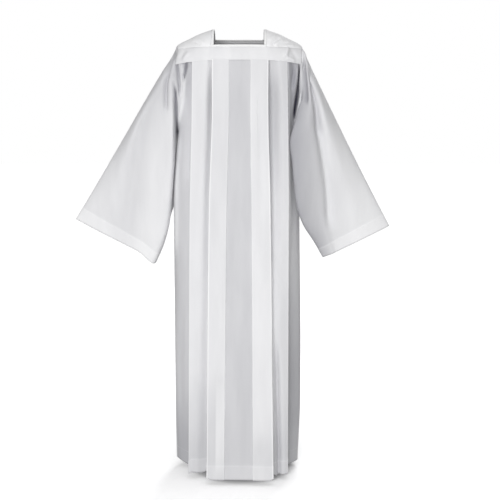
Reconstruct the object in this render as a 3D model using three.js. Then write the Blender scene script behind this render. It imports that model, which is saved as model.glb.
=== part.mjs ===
// A full-length white alb with a square yoke, pressed pleats front and back, and wide bell sleeves.
// It is filled out as if worn and is hollow. Millimetres, +Z up, the front faces -Y.
// The origin is where the shoulders carry it: the middle of the neck opening, level with the neck points.
import * as THREE from "three";

// Driving dimensions of the cloth.
const CLOTH = 1.5; // wall of one layer
const HEM_WALL = 2.6; // wall where the hem is turned up double
const SEAM_GAP = 0.5; // between pieces that are sewn together
const LENGTH = 1476; // from the neck points to the hem
const HEM_DEPTH = 50; // turned-up hem of the skirt
const CUFF_HEM = 40; // turned-up hem of the sleeves

// Yoke and neck opening.
const NECK_HALF = 90; // half the width of the opening cut in the yoke
const FRONT_NECK_Z = -66; // front edge of the opening, and the seam beside it
const BACK_NECK_Z = -30; // back edge of the opening
const YOKE_LOW_Z = -107; // lower edge of the yoke in the middle
const YOKE_DROP = 11; // how much lower that edge is at the armholes
const YOKE_HALF = 200; // from the middle to the armhole along that edge
const YOKE_DEPTH = 110; // from the middle plane to the chest at the yoke's lower edge
const YOKE_TURN = 44; // how far the yoke curves back at the armholes
// The shoulder line: distance out from the middle, and height there.
const SHOULDER_OUT = [90, 135, 165, 195, 205];
const SHOULDER_HEIGHT = [0, -16, -31, -47, -55];
const ARCH_POWER = 1.7; // fullness of the arch over the shoulder, from front to back
const BACK_SEAM_SLOPE = 0.4; // fall of the back shoulder seam
const BINDING_WIDTH = 8;
const BINDING_THICK = 3;

// Armhole: how far out it lies at its shoulder point, yoke, middle and underarm, and its half depth.
const ARMHOLE_TOP_Z = -54;
const UNDERARM_Z = -330;
const ARMHOLE_HALF = 66;
const ARMHOLE_POWER = 2.4;
const ARMHOLE_Z = [ARMHOLE_TOP_Z, -118, -180, UNDERARM_Z];
const ARMHOLE_OUT = { left: [205, 194, 190, 203], right: [205, 205, 203, 203] };
const SLEEVE_SHIFT = [1.2, 1.2, 1.3, 2.3]; // the sleeve head stands this far outside the armhole edge

// Heights at which the pleats are tabled: yoke seam, chest, hip and hem.
const LEVELS = [YOKE_LOW_Z, -240, -590, -LENGTH];
// One row for each pressed fold, from left to right as seen from the front.
// x: place of the edge. y: its distance in front of the middle plane below the yoke (chest, hip, hem).
// step: how far the layer beneath lies behind it at the four levels. lap: how far it is folded under.
// under: +1 when the cloth is tucked towards +X, -1 towards -X.
// hollow: how wide the layer beneath sinks beside the edge, at the four levels.
const NO_HOLLOW = [0, 0, 0, 0];
const FRONT_FOLDS = [
  {
    fold: "outer_left", x: [-151, -152, -161, -172], y: [110, 120, 128],
    step: [7, 16, 36, 84], lap: 22, under: 1, hollow: NO_HOLLOW,
  },
  {
    fold: "panel_left", x: [-86, -86, -97, -108], y: [122, 146, 184],
    step: [7, 26, 42, 60], lap: 24, under: 1, hollow: [18, 24, 25, 22],
  },
  {
    fold: "inner_left", x: [-32, -32, -40, -50], y: [126, 149, 187],
    step: [6.4, 7, 7.5, 8], lap: 22, under: -1, hollow: NO_HOLLOW,
  },
  {
    fold: "inner_right", x: [38, 37, 41, 46], y: [126, 150, 191],
    step: [6.4, 7, 7.5, 8], lap: 22, under: 1, hollow: NO_HOLLOW,
  },
  {
    fold: "panel_right", x: [92, 92, 101, 109], y: [122, 148, 193],
    step: [7, 30, 46, 60], lap: 24, under: -1, hollow: [26, 29, 26, 16],
  },
  {
    fold: "outer_right", x: [156, 156, 160, 163], y: [110, 122, 140],
    step: [7, 26, 60, 108], lap: 22, under: -1, hollow: NO_HOLLOW,
  },
];
const BACK_FOLDS = [
  {
    fold: "outer_left", x: [-152, -153, -160, -168], y: [106, 110, 122],
    step: [7, 18, 38, 66], lap: 22, under: 1, hollow: NO_HOLLOW,
  },
  {
    fold: "panel_left", x: [-90, -90, -99, -110], y: [118, 132, 162],
    step: [7, 24, 38, 50], lap: 24, under: 1, hollow: [20, 24, 24, 20],
  },
  {
    fold: "inner_left", x: [-36, -36, -43, -52], y: [120, 134, 168],
    step: [6.4, 7, 7.5, 8], lap: 22, under: -1, hollow: NO_HOLLOW,
  },
  {
    fold: "inner_right", x: [36, 36, 42, 48], y: [120, 134, 166],
    step: [6.4, 7, 7.5, 8], lap: 22, under: 1, hollow: NO_HOLLOW,
  },
  {
    fold: "panel_right", x: [90, 90, 98, 106], y: [118, 132, 160],
    step: [7, 25, 38, 48], lap: 24, under: -1, hollow: [20, 25, 24, 18],
  },
  {
    fold: "outer_right", x: [152, 152, 157, 160], y: [106, 110, 120],
    step: [7, 18, 40, 66], lap: 22, under: -1, hollow: NO_HOLLOW,
  },
];
const FOLD_ROUND = 7; // widest turn of a fold edge
const SIDE_POWER = [2.1, 1.9, 1.7, 1.5]; // fullness from the outer pleat to the side seam, at the levels
const HEM_RISE = 9; // how much higher the hem hangs at the side seams
const SIDE_Z = [UNDERARM_Z, -420, -525, -650, -1100, -LENGTH];
const SIDE_X = { left: [203, 211, 221, 223, 224, 222], right: [203, 203, 203, 203, 209, 205] };
const PANEL_ROWS = [YOKE_LOW_Z, -160, -220, -270, -305, -322, -332, -420, -540, -700, -900, -1150];

// Sleeves: one row for each ring, as if both were the right one: outer is the top edge of the sleeve,
// lip the front edge that hangs beside the body, inner the seam behind it. valley is the long soft fold,
// as its share of the way from outer to inner and its depth towards the front. crest is how far the cloth
// swells on both sides of it, and back how far it swells behind. tuck is how far the back layer reaches
// inwards behind the skirt's side.
const LEFT_SLEEVE = [
  {
    outer: [223, 0, -86], lip: [213, -56, -318], inner: [209, 3, -347],
    valley: [0.3, 74], crest: 75, back: 80, tuck: 6,
  },
  {
    outer: [252, 0, -131], lip: [216, -63, -372], inner: [213, 6, -388],
    valley: [0.25, 74], crest: 75, back: 80, tuck: 12,
  },
  {
    outer: [292, 0, -196], lip: [218, -63, -430], inner: [218, 8, -440],
    valley: [0.2, 66], crest: 70, back: 74, tuck: 19,
  },
  {
    outer: [345, 0, -283], lip: [224, -60, -495], inner: [225, 10, -505],
    valley: [0.2, 54], crest: 64, back: 66, tuck: 24,
  },
  {
    outer: [403, 0, -378], lip: [233, -54, -566], inner: [230, 10, -575],
    valley: [0.31, 49], crest: 58, back: 59, tuck: 35,
  },
  {
    outer: [463, 0, -476], lip: [245, -47, -645], inner: [242, 8, -650],
    valley: [0.45, 42], crest: 52, back: 52, tuck: 15,
  },
  {
    outer: [515, 0, -561], lip: [268, -40, -716], inner: [262, 6, -718],
    valley: [0.55, 37], crest: 47, back: 46, tuck: 4,
  },
];
const LEFT_CUFF = {
  outer: [557, 0, -629], lip: [295, -30, -777], inner: [286, 8, -770],
  valley: [0.63, 33], crest: 40, back: 42, tuck: 0,
};
const RIGHT_SLEEVE = [
  {
    outer: [214, 0, -74], lip: [195, -82, -262], inner: [205, 0, -336],
    valley: [0.12, 62], crest: 74, back: 76, tuck: 0,
  },
  {
    outer: [224, 0, -94], lip: [184, -92, -306], inner: [206, -2, -346],
    valley: [0.16, 62], crest: 80, back: 80, tuck: 0,
  },
  {
    outer: [247, 0, -141], lip: [181, -96, -362], inner: [207, -6, -388],
    valley: [0.24, 60], crest: 84, back: 82, tuck: 0,
  },
  {
    outer: [280, -2, -207], lip: [180, -99, -434], inner: [208, -8, -442],
    valley: [0.39, 56], crest: 82, back: 80, tuck: 0,
  },
  {
    outer: [325, -4, -297], lip: [182, -99, -504], inner: [210, -10, -506],
    valley: [0.52, 54], crest: 78, back: 76, tuck: 0,
  },
  {
    outer: [374, -6, -395], lip: [190, -94, -572], inner: [214, -12, -576],
    valley: [0.6, 48], crest: 72, back: 70, tuck: 0,
  },
  {
    outer: [426, -6, -495], lip: [215, -77, -640], inner: [228, -14, -642],
    valley: [0.68, 42], crest: 60, back: 62, tuck: 0,
  },
  {
    outer: [472, -6, -582], lip: [254, -54, -700], inner: [258, -14, -702],
    valley: [0.79, 37], crest: 49, back: 54, tuck: 0,
  },
];
const RIGHT_CUFF = {
  outer: [509, -4, -652], lip: [284, -33, -755], inner: [291, -8, -757],
  valley: [0.88, 32], crest: 40, back: 46, tuck: 0,
};
const FORWARD_RISE = 0.1; // the cloth that swells forward hangs this much higher
const SLEEVE_SIDES = 40; // points round a sleeve ring, four between each two of its guiding points

// A smooth value at z through a table whose heights fall, without overshoot.
function through(heights, values, z) {
  const last = heights.length - 1;
  if (z >= heights[0]) return values[0];
  if (z <= heights[last]) return values[last];
  const gaps = heights.slice(1).map((h, i) => h - heights[i]);
  const rises = gaps.map((g, i) => (values[i + 1] - values[i]) / g);
  const slope = (i) => {
    if (i === 0) return rises[0];
    if (i === last) return rises[last - 1];
    const product = rises[i - 1] * rises[i];
    return product > 0 ? (2 * product) / (rises[i - 1] + rises[i]) : 0;
  };
  let i = 0;
  while (z < heights[i + 1]) i += 1;
  const s = (z - heights[i]) / gaps[i];
  const ease = s * s * (3 - 2 * s);
  const lift = gaps[i] * (s * (1 - s) * (1 - s) * slope(i) - s * s * (1 - s) * slope(i + 1));
  return values[i] * (1 - ease) + values[i + 1] * ease + lift;
}

const bulge = (value, power) => Math.sign(value) * Math.abs(value) ** (2 / power);
const yokeDepth = (x) => YOKE_DEPTH - YOKE_TURN * (Math.abs(x) / YOKE_HALF) ** 4;
const yokeLow = (x) => YOKE_LOW_Z - YOKE_DROP * (Math.abs(x) / YOKE_HALF) ** 3;
const shoulderTop = (x) => through(SHOULDER_OUT.map((v) => -v), SHOULDER_HEIGHT, -Math.abs(x));
const armholeOut = (side) => (side < 0 ? ARMHOLE_OUT.left : ARMHOLE_OUT.right);
const backSeam = (x) => BACK_NECK_Z - BACK_SEAM_SLOPE * Math.max(0, Math.abs(x) - NECK_HALF);

// A point of the yoke's arch at x: turn 0 is its lower front edge, a half turn its lower back edge.
function archPoint(x, turn) {
  const angle = turn * Math.PI;
  const low = yokeLow(x);
  const y = -yokeDepth(x) * bulge(Math.cos(angle), ARCH_POWER);
  const z = low + (shoulderTop(x) - low) * bulge(Math.sin(angle), ARCH_POWER);
  return new THREE.Vector3(x, y, z);
}

// The turn at which the arch at x reaches height z, on the front half.
function archTurn(x, z) {
  const low = yokeLow(x);
  const share = THREE.MathUtils.clamp((z - low) / (shoulderTop(x) - low), 0, 1);
  return Math.asin(share ** (ARCH_POWER / 2)) / Math.PI;
}

// Closed wall between two grids of points, row by row. A ring's rows close on themselves.
function wallBetween(outer, inner, ring) {
  const rows = outer.length;
  const columns = outer[0].length;
  const points = [...outer.flat(), ...inner.flat()];
  const index = [];
  const inside = rows * columns;
  const quad = (a, b, c, d) => index.push(a, b, c, a, c, d);
  const steps = ring ? columns : columns - 1;
  for (let r = 0; r < rows - 1; r += 1) {
    for (let c = 0; c < steps; c += 1) {
      const a = r * columns + c;
      const b = r * columns + ((c + 1) % columns);
      quad(a, b, b + columns, a + columns);
      quad(inside + a, inside + a + columns, inside + b + columns, inside + b);
    }
  }
  for (let c = 0; c < steps; c += 1) {
    const next = (c + 1) % columns;
    const foot = (rows - 1) * columns;
    quad(c, inside + c, inside + next, next);
    quad(foot + c, foot + next, inside + foot + next, inside + foot + c);
  }
  for (let r = 0; !ring && r < rows - 1; r += 1) {
    const left = r * columns;
    const right = left + columns - 1;
    quad(left, left + columns, inside + left + columns, inside + left);
    quad(right, inside + right, inside + right + columns, right + columns);
  }
  let volume = 0;
  for (let i = 0; i < index.length; i += 3) {
    const [a, b, c] = [points[index[i]], points[index[i + 1]], points[index[i + 2]]];
    volume += a.dot(new THREE.Vector3().crossVectors(b, c));
  }
  if (volume < 0) index.reverse();
  const geometry = new THREE.BufferGeometry().setFromPoints(points);
  geometry.setIndex(index);
  return geometry;
}

// Grid of points moved along the surface's own normals by a distance that may differ from row to row.
function movedGrid(grid, distance, ring) {
  const rows = grid.length;
  const columns = grid[0].length;
  const at = (r, c) => grid[r][ring ? (c + columns) % columns : THREE.MathUtils.clamp(c, 0, columns - 1)];
  return grid.map((row, r) =>
    row.map((point, c) => {
      const along = new THREE.Vector3().subVectors(at(r, c + 1), at(r, c - 1));
      const down = new THREE.Vector3().subVectors(
        grid[Math.min(r + 1, rows - 1)][c],
        grid[Math.max(r - 1, 0)][c],
      );
      const normal = new THREE.Vector3().crossVectors(along, down).normalize();
      return point.clone().addScaledVector(normal, distance(r));
    }),
  );
}

function clothWall(grid, ring, thickness = () => CLOTH) {
  const outer = movedGrid(grid, () => CLOTH / 2, ring);
  const inner = movedGrid(grid, (r) => CLOTH / 2 - thickness(r), ring);
  return wallBetween(outer, inner, ring);
}

// The skirt panels. A section is a line of points in plan, with every fold as two turns of the cloth.
const SIDE_STEPS = 5;

function foldTurns(row, z) {
  const x = through(LEVELS, row.x, z);
  const y = through(LEVELS, [yokeDepth(row.x[0]) - 0.6, ...row.y], z);
  const step = through(LEVELS, row.step, z);
  const gap = Math.min(step / 2, FOLD_ROUND);
  const tuck = x + row.under * row.lap;
  const turns = [
    { x, y, round: gap },
    { x, y: y - gap, round: gap },
    { x: tuck, y: y - step + gap, round: gap },
    { x: tuck, y: y - step, round: gap },
  ];
  return row.under > 0 ? turns.reverse() : turns;
}

// Armhole edge at height z on one side, as its distances out and from the middle plane.
function armholeAt(z, side) {
  const x = through(ARMHOLE_Z, armholeOut(side), z);
  const low = ARMHOLE_Z[1];
  const share = z > low ? (z - low) / (ARMHOLE_TOP_Z - low) : (low - z) / (low - UNDERARM_Z);
  const power = z > low ? ARCH_POWER : ARMHOLE_POWER;
  const root = z > low ? ARCH_POWER : 2;
  const half = ARMHOLE_HALF * (1 - THREE.MathUtils.clamp(share, 0, 1) ** power) ** (1 / root);
  return { x, y: half };
}

// From the innermost turn of the outer pleat round to the side seam or the armhole edge.
function sideCurve(start, sign, z, edgeZ) {
  const seamX = through(SIDE_Z, sign < 0 ? SIDE_X.left : SIDE_X.right, z);
  const hole = armholeAt(edgeZ, sign);
  const power = through(LEVELS, SIDE_POWER, z);
  const open = edgeZ > UNDERARM_Z;
  const endY = Math.max(open ? hole.y : 0, SEAM_GAP / 2);
  const last = Math.acos(THREE.MathUtils.clamp((endY / start.y) ** (power / 2), 0, 1));
  const reach = seamX - Math.abs(start.x);
  const endX = Math.abs(start.x) + reach * Math.sin(last) ** (2 / power);
  const shift = open ? hole.x - endX : 0;
  const points = [];
  for (let i = 1; i <= SIDE_STEPS; i += 1) {
    const share = i / SIDE_STEPS;
    const angle = last * share;
    const x = Math.abs(start.x) + reach * Math.sin(angle) ** (2 / power) + shift * share * share;
    points.push({ x: sign * x, y: start.y * Math.cos(angle) ** (2 / power) });
  }
  return points;
}

// Two points of a face, low and high, where the cloth sinks beside the fold edge that lies over it.
// A face with no hollow has none.
function faceGuides(before, after, z) {
  const over = after.under > 0 ? after : before;
  const side = after.under > 0 ? -1 : 1;
  const open = after.under > 0 ? before : after;
  const wide = through(LEVELS, over.hollow, z);
  if ((over === before && before.under > 0) || wide === 0) return [];
  const edge = through(LEVELS, over.x, z);
  const top = yokeDepth(over.x[0] + side * over.hollow[0]) - 0.6;
  const highY = through(LEVELS, [top, ...open.y.map((y) => y + 1)], z);
  const edgeY = through(LEVELS, [yokeDepth(over.x[0]) - 0.6, ...over.y], z);
  const lowY = edgeY - through(LEVELS, over.step, z) + 2;
  const low = { x: edge + side * 0.15 * wide, y: lowY };
  const high = { x: edge + side * wide, y: Math.max(lowY, highY) };
  return side < 0 ? [high, low] : [low, high];
}

// The whole section of a panel at height z, from side seam to side seam. Each fold gives four turns of the
// cloth, each turn two points or one, and each face between two folds a middle point and its hollow.
function panelSection(folds, z, edgeZ) {
  const turns = folds.flatMap((row) => foldTurns(row, z));
  const line = [];
  turns.forEach((turn, i) => {
    const before = turns[i - 1] ?? turn;
    const after = turns[i + 1] ?? turn;
    const near = (other) => {
      const far = Math.hypot(other.x - turn.x, other.y - turn.y);
      const cut = (0.45 * turn.round) / far;
      return { x: turn.x + (other.x - turn.x) * cut, y: turn.y + (other.y - turn.y) * cut };
    };
    line.push(i > 0 ? near(before) : { x: turn.x, y: turn.y });
    if (i > 0 && i < turns.length - 1) line.push(near(after));
    if (i % 4 !== 3 || i === turns.length - 1) return;
    const row = (i - 3) / 4;
    const guides = faceGuides(folds[row], folds[row + 1], z);
    const stops = [turn, ...guides, after];
    const halfway = guides.length > 0 && folds[row].under < 0 ? 2 : 0;
    const middle = {
      x: (stops[halfway].x + stops[halfway + 1].x) / 2,
      y: (stops[halfway].y + stops[halfway + 1].y) / 2,
    };
    guides.splice(halfway, 0, middle);
    line.push(...guides);
  });
  const left = sideCurve(line[0], -1, z, edgeZ).reverse();
  const right = sideCurve(line[line.length - 1], 1, z, edgeZ);
  return [...left, ...line, ...right];
}

// Line of plan points moved sideways by a distance, with mitred corners. The ends are squared off where
// the panels meet face to face, at the side seams.
function movedLine(line, distance, squared) {
  return line.map((point, i) => {
    const before = line[Math.max(i - 1, 0)];
    const after = line[Math.min(i + 1, line.length - 1)];
    const unit = (a, b) => new THREE.Vector2(b.x - a.x, b.y - a.y).normalize();
    const into = i > 0 ? unit(before, point) : unit(point, after);
    const out = i < line.length - 1 ? unit(point, after) : into;
    const edge = squared && (i === 0 || i === line.length - 1);
    const normal = new THREE.Vector2(-into.y - out.y, edge ? 0 : into.x + out.x).normalize();
    const mitre = Math.max(0.5, normal.dot(new THREE.Vector2(-into.y, into.x)));
    return { x: point.x + (normal.x * distance) / mitre, y: point.y + (normal.y * distance) / mitre };
  });
}

// A skirt panel: its sections from the yoke seam down to the hem, which is turned up double. Its top edge
// follows the yoke, and its hem hangs a little higher at the sides.
function skirtPanel(folds, facing) {
  const hemTop = -LENGTH + HEM_DEPTH;
  const rows = [...PANEL_ROWS, hemTop, hemTop - 1, -LENGTH].map((z, i, all) => ({
    z,
    wall: i > all.length - 3 ? HEM_WALL : CLOTH,
    drop: THREE.MathUtils.clamp((z - PANEL_ROWS[2]) / (YOKE_LOW_Z - PANEL_ROWS[2]), 0, 1),
    foot: i > all.length - 4 ? 1 : 0,
  }));
  const grid = (offset) =>
    rows.map((row) => {
      const edgeZ = row.z - YOKE_DROP * row.drop;
      const line = panelSection(folds, row.z, edgeZ);
      return movedLine(line, offset(row), edgeZ <= UNDERARM_Z).map((p) => {
        const fall = (yokeLow(beforeEdge(p.x)) - YOKE_LOW_Z - SEAM_GAP) * row.drop;
        const rise = HEM_RISE * row.foot * Math.min(1, Math.abs(p.x) / YOKE_HALF) ** 6;
        return new THREE.Vector3(p.x, facing * p.y, row.z + fall + rise);
      });
    });
  return wallBetween(grid(() => CLOTH / 2), grid((row) => CLOTH / 2 - row.wall), false);
}

// The yoke pieces, cut from the arch over the shoulders.
const YOKE_COLUMNS = 20;
const ARMHOLE_MARGIN = SEAM_GAP;

function yokeBand(topOf, facing) {
  const rows = [0, 0.35, 0.7, 1];
  const xs = bandColumns();
  const grid = rows.map((share) =>
    xs.map((x) => {
      const low = yokeLow(x);
      const z = low + (topOf(x) - SEAM_GAP / 2 - low) * share;
      const point = archPoint(x, archTurn(x, z));
      return new THREE.Vector3(edgeX(x, point.z), facing * point.y, point.z);
    }),
  );
  return clothWall(grid, false);
}

// Evenly spaced columns across the yoke, from armhole to armhole.
function bandColumns() {
  const xs = [];
  for (let i = 0; i <= YOKE_COLUMNS; i += 1) xs.push(YOKE_HALF * (-1 + (2 * i) / YOKE_COLUMNS));
  return xs;
}

// The end of the yoke follows the armhole edge.
function edgeX(x, z) {
  const share = Math.max(0, (Math.abs(x) - 150) / (YOKE_HALF - 150));
  const end = through(ARMHOLE_Z, armholeOut(x), z) - YOKE_HALF;
  return x + Math.sign(x) * share * (end - ARMHOLE_MARGIN);
}

// The opposite of edgeX at the yoke's lower edge.
function beforeEdge(x) {
  const end = Math.abs(edgeX(x < 0 ? -YOKE_HALF : YOKE_HALF, YOKE_LOW_Z - YOKE_DROP));
  const over = Math.max(0, Math.abs(x) - 150) / (end - 150);
  return Math.min(Math.abs(x), 150) + Math.min(1, over) * (YOKE_HALF - 150);
}

function shoulderPiece(side) {
  const columns = 7;
  const rows = 12;
  const grid = [];
  for (let r = 0; r <= rows; r += 1) {
    const row = [];
    for (let c = 0; c <= columns; c += 1) {
      const x = NECK_HALF + ((YOKE_HALF - NECK_HALF) * c) / columns;
      const start = archTurn(x, FRONT_NECK_Z + SEAM_GAP / 2);
      const end = 1 - archTurn(x, backSeam(x) + SEAM_GAP / 2);
      const point = archPoint(x, start + ((end - start) * r) / rows);
      row.push(new THREE.Vector3(edgeX(side * point.x, point.z), point.y, point.z));
    }
    grid.push(row);
  }
  return clothWall(grid, false);
}

// Sleeves. The first ring is the armhole edge itself, shared out evenly by length from its top.
function armholeRing(side) {
  const fine = 400;
  const raw = [];
  for (let i = 0; i <= fine; i += 1) {
    const z = ARMHOLE_TOP_Z + (UNDERARM_Z - ARMHOLE_TOP_Z) * (0.5 - 0.5 * Math.cos((Math.PI * i) / fine));
    const hole = armholeAt(z, side);
    raw.push(new THREE.Vector3(hole.x + through(ARMHOLE_Z, SLEEVE_SHIFT, z), -hole.y, z));
  }
  const edge = new THREE.CurvePath();
  for (let i = 1; i <= fine; i += 1) edge.add(new THREE.LineCurve3(raw[i - 1], raw[i]));
  const front = [];
  for (let k = 0; k <= SLEEVE_SIDES / 2; k += 1) front.push(edge.getPoint((2 * k) / SLEEVE_SIDES));
  const back = front.slice(1, -1).reverse();
  return [...front, ...back.map((p) => new THREE.Vector3(p.x, -p.y, p.z))];
}

// A ring of the sleeve: a smooth closed curve through ten guiding points.
function sleeveRing(row) {
  const outer = new THREE.Vector3(...row.outer);
  const inner = new THREE.Vector3(...row.inner);
  const lip = new THREE.Vector3(...row.lip);
  const at = (share, depth) => {
    const point = outer.clone().lerp(inner, share);
    return point.add(new THREE.Vector3(0, -depth, FORWARD_RISE * depth));
  };
  const [place, depth] = row.valley;
  const behind = at(0.86, -0.75 * row.back);
  behind.x -= row.tuck;
  const guides = [
    outer,
    at(0.45 * place, 0.8 * row.crest),
    at(place, depth),
    at(place + 0.55 * (0.94 - place), row.crest),
    lip,
    inner,
    behind,
    at(0.6, -row.back),
    at(0.34, -0.95 * row.back),
    at(0.11, -0.62 * row.back),
  ];
  const curve = new THREE.CatmullRomCurve3(guides, true, "centripetal");
  return curve.getPoints(SLEEVE_SIDES).slice(0, -1);
}

function sleeve(side, table, cuff) {
  const last = table[table.length - 1];
  const mix = (a, b, share) => a.map((v, i) => v + (b[i] - v) * share);
  const hem = (share) => ({
    outer: mix(last.outer, cuff.outer, share),
    lip: mix(last.lip, cuff.lip, share),
    inner: mix(last.inner, cuff.inner, share),
    valley: mix(last.valley, cuff.valley, share),
    crest: THREE.MathUtils.lerp(last.crest, cuff.crest, share),
    back: THREE.MathUtils.lerp(last.back, cuff.back, share),
    tuck: THREE.MathUtils.lerp(last.tuck, cuff.tuck, share),
  });
  const run = new THREE.Vector3(...last.outer).distanceTo(new THREE.Vector3(...cuff.outer));
  const turned = 1 - CUFF_HEM / run;
  const rows = [...table, hem(turned), hem(turned + 0.01), cuff];
  const grid = [armholeRing(side), ...rows.map(sleeveRing)];
  grid.forEach((ring) => ring.forEach((p) => (p.x *= side)));
  if (side > 0) grid.forEach((ring) => ring.reverse());
  return clothWall(grid, true, (r) => (r > grid.length - 3 ? HEM_WALL : CLOTH));
}

// The binding: a flat band that stands in the neck opening, along the yoke's edge.
function neckBinding() {
  const path = [];
  const add = (x, turn, alongSide) => path.push({ point: archPoint(x, turn), x, alongSide });
  const across = 6;
  const over = 12;
  const half = NECK_HALF;
  const frontTurn = archTurn(half, FRONT_NECK_Z);
  const backTurn = 1 - archTurn(half, BACK_NECK_Z);
  const step = (2 * half) / across;
  const arc = (backTurn - frontTurn) / over;
  for (let i = 1; i < across; i += 1) add(-half + step * i, archTurn(0, FRONT_NECK_Z), false);
  for (let i = 0; i <= over; i += 1) add(half, frontTurn + arc * i, true);
  for (let i = 1; i < across; i += 1) add(half - step * i, 1 - archTurn(0, BACK_NECK_Z), false);
  for (let i = 0; i <= over; i += 1) add(-half, backTurn - arc * i, true);
  return bindingWall(path);
}

// The band's wall along its path: it leans inward from the seam, and is mitred at the four corners.
function bindingWall(path) {
  const count = path.length;
  const outer = [[], []];
  const inner = [[], []];
  path.forEach((step, i) => {
    const before = path[(i + count - 1) % count].point;
    const after = path[(i + 1) % count].point;
    const along = new THREE.Vector3().subVectors(after, before).normalize();
    const corner = Math.abs(Math.abs(step.x) - NECK_HALF) < 1e-6 && Math.abs(along.x) > 0.2;
    const turn = step.point.y < 0 ? archTurn(step.x, step.point.z) : 1 - archTurn(step.x, step.point.z);
    const above = archPoint(step.x, turn + 0.004);
    const below = archPoint(step.x, turn - 0.004);
    const up = new THREE.Vector3().subVectors(above, below).normalize();
    const normal = new THREE.Vector3().crossVectors(new THREE.Vector3(1, 0, 0), up).normalize();
    const rise = step.point.y < 0 ? up : up.clone().negate();
    const sideways = new THREE.Vector3(-Math.sign(step.x), 0, 0);
    const inward = new THREE.Vector3();
    if (corner) inward.copy(rise).add(sideways);
    else if (step.alongSide) inward.copy(sideways);
    else inward.copy(rise);
    const near = step.point.clone().addScaledVector(inward, SEAM_GAP);
    const far = step.point.clone().addScaledVector(inward, BINDING_WIDTH);
    outer[0].push(near.clone().addScaledVector(normal, BINDING_THICK / 2));
    outer[1].push(far.clone().addScaledVector(normal, BINDING_THICK / 2));
    inner[0].push(near.clone().addScaledVector(normal, -BINDING_THICK / 2));
    inner[1].push(far.clone().addScaledVector(normal, -BINDING_THICK / 2));
  });
  return wallBetween(outer, inner, true);
}

const cloth = new THREE.MeshStandardMaterial({ color: 0xeeeef0, roughness: 0.85, metalness: 0 });
const binding = new THREE.MeshStandardMaterial({ color: 0xfcfcfc, roughness: 0.8, metalness: 0 });

const alb = new THREE.Group();
function piece(name, geometry, material = cloth) {
  geometry.computeVertexNormals();
  const mesh = new THREE.Mesh(geometry, material);
  mesh.name = name;
  alb.add(mesh);
}

piece("front_panel", skirtPanel(FRONT_FOLDS, -1));
piece("back_panel", skirtPanel(BACK_FOLDS, 1));
piece("front_yoke", yokeBand(() => FRONT_NECK_Z, 1));
piece("back_yoke", yokeBand(backSeam, -1));
piece("shoulder_yoke_left", shoulderPiece(-1));
piece("shoulder_yoke_right", shoulderPiece(1));
piece("sleeve_left", sleeve(-1, LEFT_SLEEVE, LEFT_CUFF));
piece("sleeve_right", sleeve(1, RIGHT_SLEEVE, RIGHT_CUFF));
piece("neck_binding", neckBinding(), binding);

export default alb;
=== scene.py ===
import math

import bmesh
import bpy
import numpy as np
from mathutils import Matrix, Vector


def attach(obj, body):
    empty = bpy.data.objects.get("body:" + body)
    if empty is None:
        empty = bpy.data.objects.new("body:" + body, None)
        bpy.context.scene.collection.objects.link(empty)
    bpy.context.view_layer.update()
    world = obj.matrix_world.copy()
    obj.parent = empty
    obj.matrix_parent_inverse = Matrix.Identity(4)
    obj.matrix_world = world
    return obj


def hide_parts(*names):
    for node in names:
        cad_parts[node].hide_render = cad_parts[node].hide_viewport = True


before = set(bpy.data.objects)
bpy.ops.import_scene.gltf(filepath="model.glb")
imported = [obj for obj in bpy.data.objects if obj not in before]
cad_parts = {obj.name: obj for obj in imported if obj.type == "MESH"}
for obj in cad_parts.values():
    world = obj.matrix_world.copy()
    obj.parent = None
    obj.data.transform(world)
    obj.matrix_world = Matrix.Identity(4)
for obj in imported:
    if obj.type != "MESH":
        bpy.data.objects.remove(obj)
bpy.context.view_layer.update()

# The studio
# A pale floor just below the hem and soft white light: the main one from the front and a little to the left,
# weaker ones from above and behind, and pale surroundings. The camera looks slightly down at the garment.
FLOOR_HEIGHT = -1.497
CAMERA_PLACE = (0.0357, -2.8, -0.3952)
CAMERA_TILT = math.radians(90 - 6.924)
CAMERA_LENS = 59.3
GLOW_REACH = 1.3  # how far round the garment the floor's own light is weaker
# The patch under the hem that has none, where a darker shadow shows as painted shade: its place, and its reach
# across, from front to back and upwards.
SHADE_X, SHADE_Y = 0.01, -0.01
SHADE_REACH = (0.33, 0.3, 0.5)


def node(tree, kind, **values):
    """A node with the given settings. An underscore stands for the space in the name of a socket."""
    made = tree.nodes.new(kind)
    for key, value in values.items():
        socket = key.replace("_", " ")
        if socket in made.inputs:
            made.inputs[socket].default_value = value
        else:
            setattr(made, key, value)
    return made


def join(tree, *links):
    """Link nodes, each from one of its outputs to an input of another."""
    for source, output, goal, entry in links:
        tree.links.new(source.outputs[output], goal.inputs[entry])


def placed(name, data):
    """A new object in the scene."""
    made = bpy.data.objects.new(name, data)
    bpy.context.scene.collection.objects.link(made)
    return made


# The floor's own glow is painted light that keeps it white; it is weaker near the garment and falls away in
# the patch under the hem, so the floor there is darker, as painted shade.
floor_paint = bpy.data.materials.new("pale_floor")
floor_paint.use_nodes = True
tree = floor_paint.node_tree
paint = tree.nodes["Principled BSDF"]
paint.inputs["Base Color"].default_value = (0.93, 0.93, 0.935, 1)
paint.inputs["Roughness"].default_value = 0.9
paint.inputs["Emission Color"].default_value = (1, 1, 1, 1)
place = node(tree, "ShaderNodeTexCoord")
shrink = node(tree, "ShaderNodeMapping", Scale=[1 / GLOW_REACH] * 3,
              Location=(0, 0, -FLOOR_HEIGHT / GLOW_REACH))
near = node(tree, "ShaderNodeTexGradient", gradient_type="SPHERICAL")
glow = node(tree, "ShaderNodeMapRange", From_Min=0.0, From_Max=0.85, To_Min=0.8, To_Max=0.28)
middle = (SHADE_X, SHADE_Y, FLOOR_HEIGHT)
foot = node(tree, "ShaderNodeMapping", Scale=[1 / far for far in SHADE_REACH],
            Location=[-at / far for at, far in zip(middle, SHADE_REACH)])
round_foot = node(tree, "ShaderNodeTexGradient", gradient_type="SPHERICAL")
fade = node(tree, "ShaderNodeMapRange", interpolation_type="SMOOTHSTEP",
            From_Min=0.41, From_Max=0.53, To_Min=1.0, To_Max=0.0)
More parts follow.
